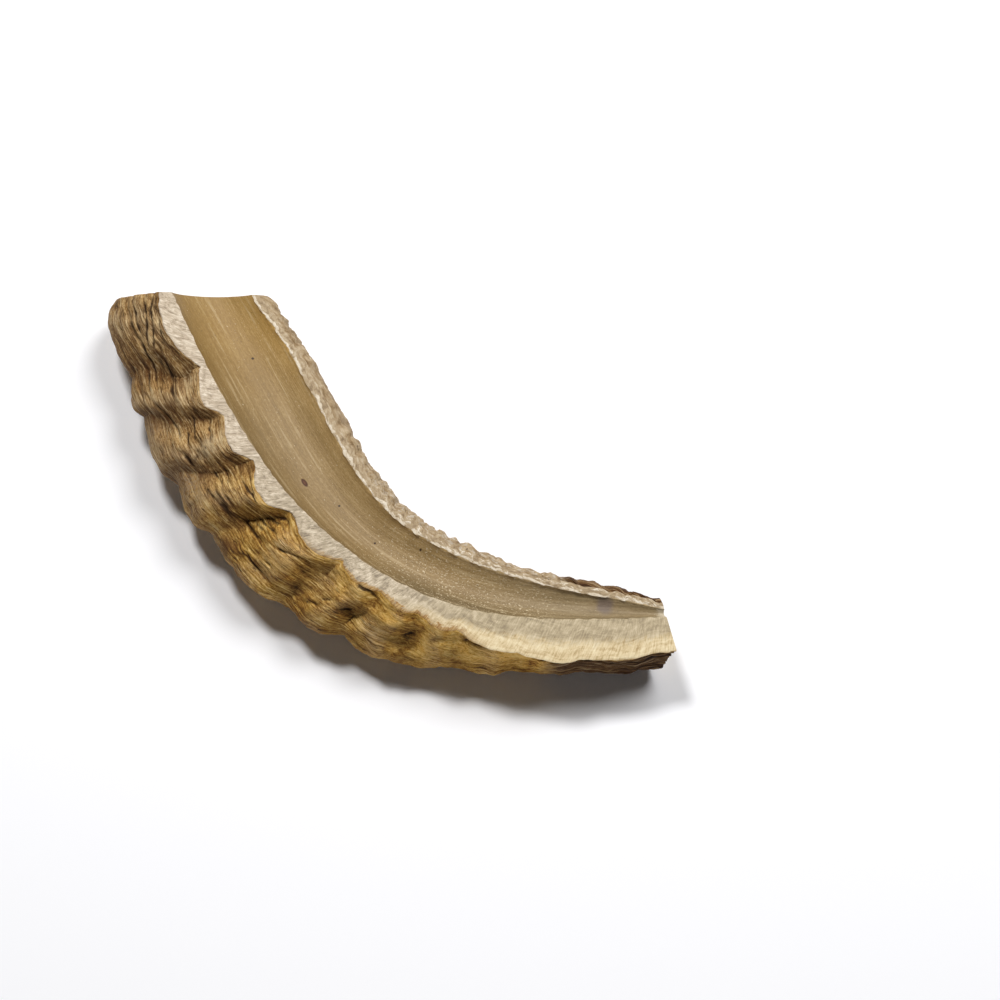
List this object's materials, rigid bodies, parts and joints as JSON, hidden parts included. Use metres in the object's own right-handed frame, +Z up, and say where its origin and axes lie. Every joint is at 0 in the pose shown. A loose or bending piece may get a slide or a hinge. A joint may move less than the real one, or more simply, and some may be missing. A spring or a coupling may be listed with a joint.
{
  "type": "ram horn",
  "caption": "Length of weathered ram's horn sawn in half lengthwise: a shallow curved trough with a flat sawn rim, a ridged outer curve and a tapering, nearly solid tip end.",
  "frame": {"origin": "centre of the footprint's bounding rectangle, on the surface the horn lies on", "axes": "+Z up from that surface, +X along the longest side of the bounding box towards the narrow tip end, +Y towards the wide base end; the sawn rim faces up"},
  "size_m": [0.142, 0.1078, 0.0256],
  "materials": {
    "horn": "dry horn: fibrous amber-brown outside, pale sawn rim and smooth tan trough, matt to slightly silky"
  },
  "bodies": {
    "root": {"horn": "horn"}
  },
  "joints": []
}
